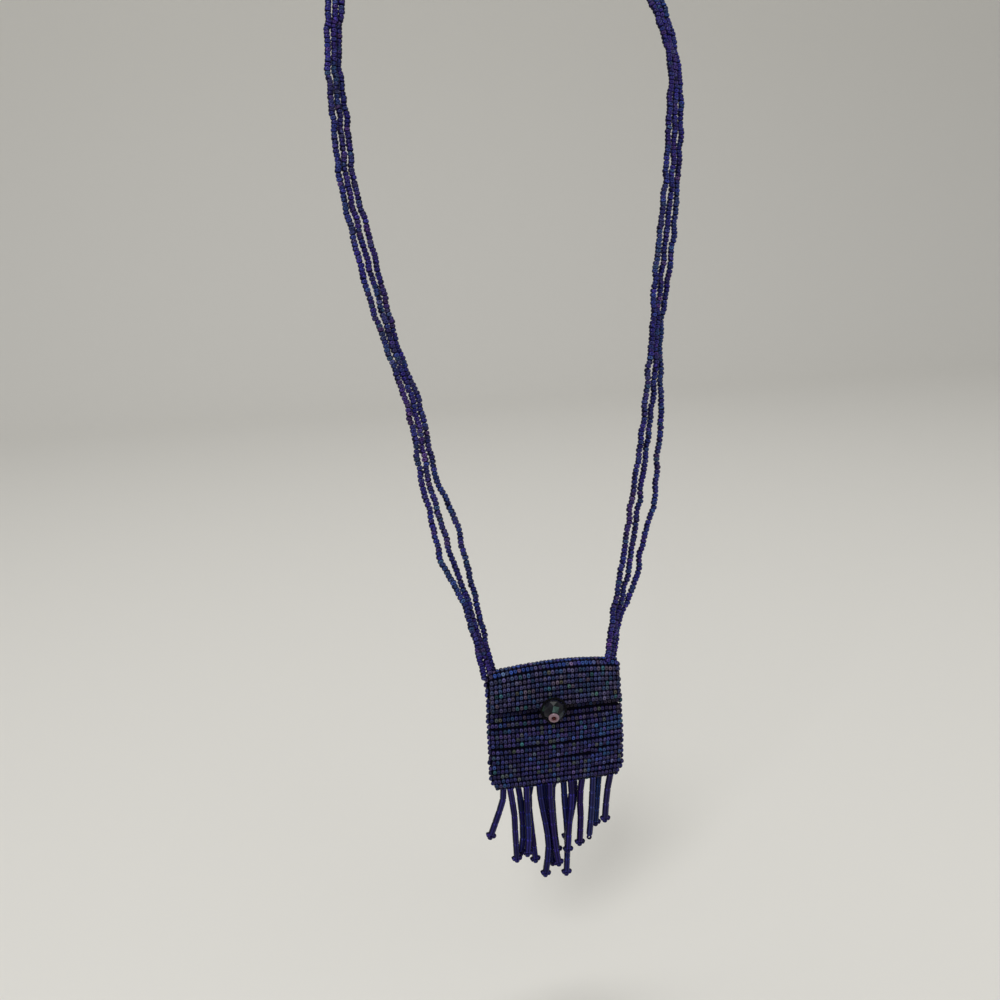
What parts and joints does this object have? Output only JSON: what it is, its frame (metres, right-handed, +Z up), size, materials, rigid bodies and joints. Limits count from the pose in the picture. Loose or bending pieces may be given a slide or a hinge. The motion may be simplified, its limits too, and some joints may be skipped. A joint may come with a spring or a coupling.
{
  "type": "beaded medicine bag",
  "caption": "Small woven seed-bead medicine bag in iridescent navy, with a fold-over flap, dark glass button, thread loop, bead fringe and stranded neck strap.",
  "frame": {"origin": "on the middle strand of the strap at the nape of the neck, where the bag hangs as it is worn", "axes": "+Z up, -Y out of the bag's front, +X to the right seen from the front"},
  "size_m": [0.1358, 0.1402, 0.3563],
  "materials": {
    "navy_iris_beads": "glossy, with a thin metallic rainbow coat",
    "cobalt_iris_beads": "glossy, with a thin metallic rainbow coat",
    "violet_blue_tubes": "glossy",
    "smoke_glass": "polished",
    "pink_glass": "glossy",
    "black_thread": "matte"
  },
  "bodies": {
    "root": {"beaded_pouch": "navy_iris_beads", "left_side_seam": "navy_iris_beads", "right_side_seam": "navy_iris_beads", "fringe_01": "violet_blue_tubes", "fringe_02": "violet_blue_tubes", "fringe_03": "violet_blue_tubes", "fringe_04": "violet_blue_tubes", "fringe_05": "violet_blue_tubes", "fringe_06": "violet_blue_tubes", "fringe_07": "violet_blue_tubes", "fringe_08": "violet_blue_tubes", "fringe_09": "violet_blue_tubes", "fringe_10": "violet_blue_tubes", "fringe_11": "violet_blue_tubes", "fringe_12": "violet_blue_tubes", "fringe_13": "violet_blue_tubes", "fringe_14": "violet_blue_tubes", "fringe_15": "violet_blue_tubes", "fringe_16": "violet_blue_tubes", "button": "smoke_glass", "stopper_bead": "pink_glass", "button_thread": "black_thread", "closure_loop": "black_thread", "strap_strand_outer": "cobalt_iris_beads", "strap_strand_middle": "cobalt_iris_beads", "strap_strand_inner": "cobalt_iris_beads"}
  },
  "joints": []
}
